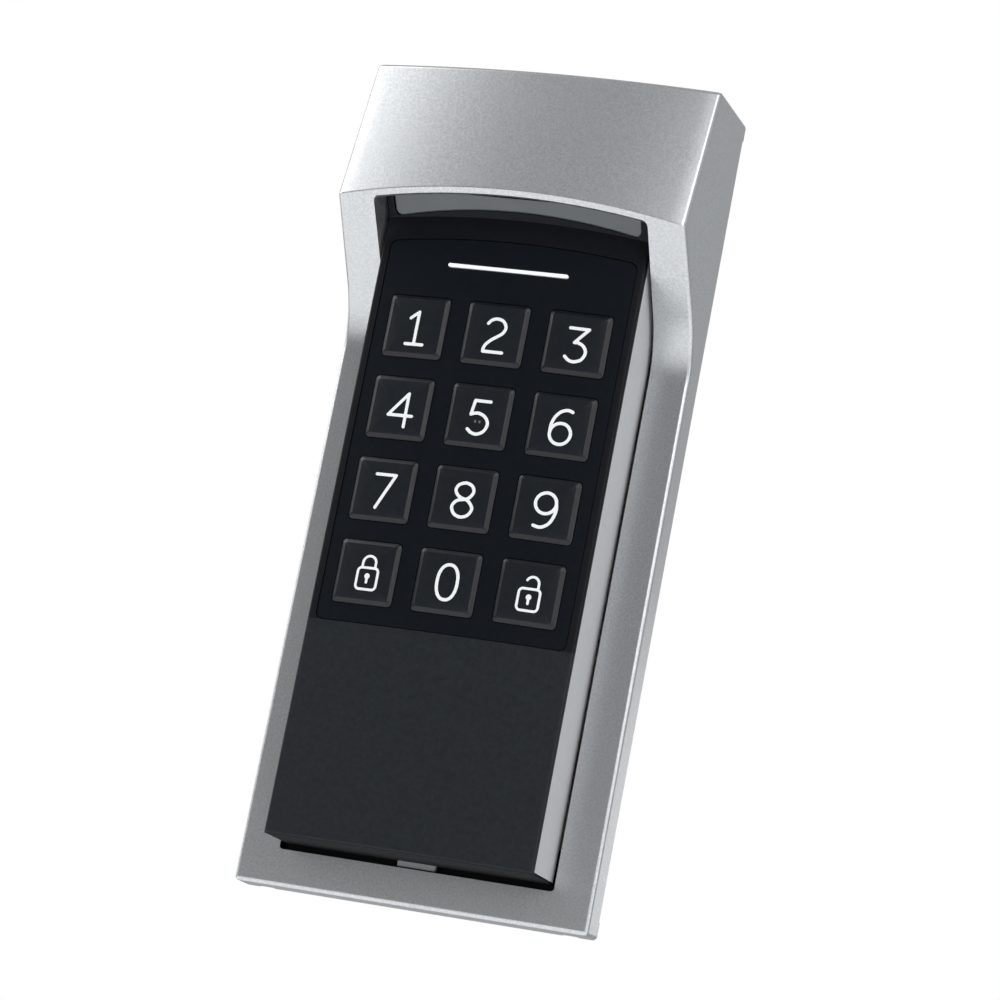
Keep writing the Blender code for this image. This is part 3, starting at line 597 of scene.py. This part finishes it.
def legend_outline_cells(strokes):
    """The inside of the strokes as polygons on a grid, cut exactly at the stroke edge."""
    xs = np.arange(-3.2, 4.0, CELL)
    zs = np.arange(-4.6, 4.0, CELL)
    gx, gz = np.meshgrid(xs, zs, indexing="ij")
    d = stroke_distance(gx, gz, strokes)
    verts, index, faces = [], {}, []

    def vertex(key, x, z):
        if key not in index:
            index[key] = len(verts)
            verts.append((x, z))
        return index[key]

    for i in range(len(xs) - 1):
        for j in range(len(zs) - 1):
            ring = [(i, j), (i + 1, j), (i + 1, j + 1), (i, j + 1)]
            values = [d[c] for c in ring]
            if min(values) >= 0:
                continue
            face = []
            for k in range(4):
                a, b = ring[k], ring[(k + 1) % 4]
                va, vb = values[k], values[(k + 1) % 4]
                if va < 0:
                    face.append(vertex(a, xs[a[0]], zs[a[1]]))
                if (va < 0) != (vb < 0):
                    t = va / (va - vb)
                    x = xs[a[0]] + t * (xs[b[0]] - xs[a[0]])
                    z = zs[a[1]] + t * (zs[b[1]] - zs[a[1]])
                    face.append(vertex((min(a, b), max(a, b)), x, z))
            if len(face) > 2:
                faces.append(face)
    return verts, faces


def surface_below(node):
    """Depth finder: the y of the node's front surface at (x, z), in metres."""
    mesh = nodes[node].data
    points = [v.co.copy() for v in mesh.vertices]
    tree = BVHTree.FromPolygons(points, [tuple(p.vertices) for p in mesh.polygons])

    def depth(x, z):
        hit = tree.ray_cast(Vector((x, -0.2, z)), Vector((0.0, 1.0, 0.0)))
        return hit[0].y if hit[0] is not None else None

    return depth


def build_legends():
    ink = printed_white()
    for name, strokes in legends().items():
        order = KEY_ORDER.index(name)
        cx = PITCH * (order % 3 - 1)
        cz = TOP_ROW - PITCH * (order // 3) - HALF_HEIGHT
        depth = surface_below("key_" + name)
        verts, faces = legend_outline_cells(strokes)
        bm = bmesh.new()
        made = []
        for x, z in verts:
            wx, wz = (cx + x) * MM, (cz + z) * MM
            made.append(bm.verts.new((wx, depth(wx, wz) - FILM * MM, wz)))
        for face in faces:
            bm.faces.new([made[k] for k in face])
        bmesh.ops.recalc_face_normals(bm, faces=bm.faces)
        top = list(bm.faces)
        if sum(f.normal.y for f in top) > 0:
            bmesh.ops.reverse_faces(bm, faces=top)
        base = bmesh.ops.extrude_face_region(bm, geom=[f for f in bm.faces], use_keep_orig=True)
        low = [g for g in base["geom"] if isinstance(g, bmesh.types.BMVert)]
        bmesh.ops.translate(bm, vec=(0.0, (FILM + 0.03) * MM, 0.0), verts=low)
        bmesh.ops.recalc_face_normals(bm, faces=bm.faces)
        mesh = bpy.data.meshes.new("legend_" + name)
        bm.to_mesh(mesh)
        bm.free()
        mesh.materials.append(ink)
        obj = bpy.data.objects.new("legend_" + name, mesh)
        bpy.context.scene.collection.objects.link(obj)
        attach(obj, "key_" + name)


def build_touch_marks():
    """Two small raised dots on the middle key, coloured light grey as a painted highlight."""
    depth = surface_below("key_5")
    cz = TOP_ROW - PITCH - HALF_HEIGHT
    # the light grey of the dots is a painted highlight standing in for their glints
    mat = moulded("touch_mark", (0.10, 0.105, 0.11), 0.35, 3000, 0.000008)
    for number, x in enumerate((-0.3, 0.56), 1):
        rings, sides = 5, 20
        centre = Vector((x * MM, depth(x * MM, (cz - 1.2) * MM), (cz - 1.2) * MM))
        bm = bmesh.new()
        rows = []
        for r in range(rings):
            a = math.pi / 2 * r / (rings - 1)
            radius, lift = 0.24 * math.cos(a), 0.16 * math.sin(a)
            if r == rings - 1:
                rows.append([bm.verts.new(centre + Vector((0.0, -lift, 0.0)) * MM)])
                continue
            row = []
            for k in range(sides):
                t = 2 * math.pi * k / sides
                row.append(bm.verts.new(centre + Vector((radius * math.cos(t), 0.02 - lift,
                                                         1.3 * radius * math.sin(t))) * MM))
            rows.append(row)
        for low, high in zip(rows[:-1], rows[1:]):
            for k in range(sides):
                n = (k + 1) % sides
                if len(high) == 1:
                    bm.faces.new((low[k], low[n], high[0]))
                else:
                    bm.faces.new((low[k], low[n], high[n], high[k]))
        bm.faces.new(list(reversed(rows[0])))
        bmesh.ops.recalc_face_normals(bm, faces=bm.faces)
        mesh = bpy.data.meshes.new("touch_mark_%d" % number)
        bm.to_mesh(mesh)
        bm.free()
        mesh.materials.append(mat)
        mesh.shade_smooth()
        obj = bpy.data.objects.new("touch_mark_%d" % number, mesh)
        bpy.context.scene.collection.objects.link(obj)
        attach(obj, "key_5")


build_camera()
build_studio()
dress_nodes()
soften_shading()
build_legends()
build_touch_marks()
